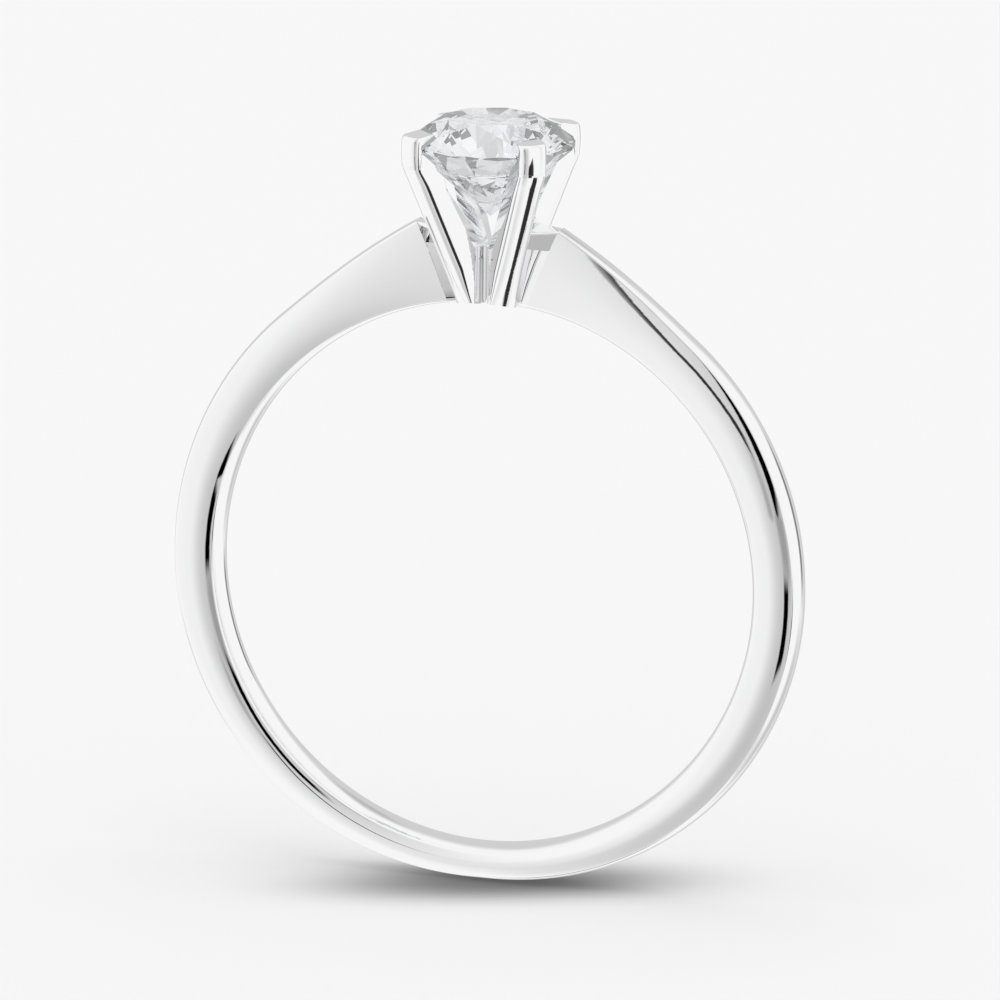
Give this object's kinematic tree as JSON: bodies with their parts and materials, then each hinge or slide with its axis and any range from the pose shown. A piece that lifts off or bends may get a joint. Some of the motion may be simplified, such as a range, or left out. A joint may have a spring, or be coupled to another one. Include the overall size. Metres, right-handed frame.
{
  "type": "solitaire ring",
  "caption": "Finger ring whose band rises in two shoulders to a tapered claw head that holds a round brilliant stone.",
  "frame": {"origin": "middle of the finger hole, on its axis and half-way across the band", "axes": "+Z from the finger towards the stone, Y along the finger, X across the finger through both shoulders"},
  "size_m": [0.0204, 0.0052, 0.0243],
  "materials": {
    "band_metal": "mirror-polished white precious metal",
    "head_metal": "mirror-polished white precious metal",
    "stone": "polished flat facets, colourless"
  },
  "bodies": {
    "root": {"shank": "band_metal", "head_post": "head_metal", "claw_front_left": "head_metal", "claw_front_right": "head_metal", "claw_back_left": "head_metal", "claw_back_right": "head_metal", "diamond": "stone"}
  },
  "joints": []
}
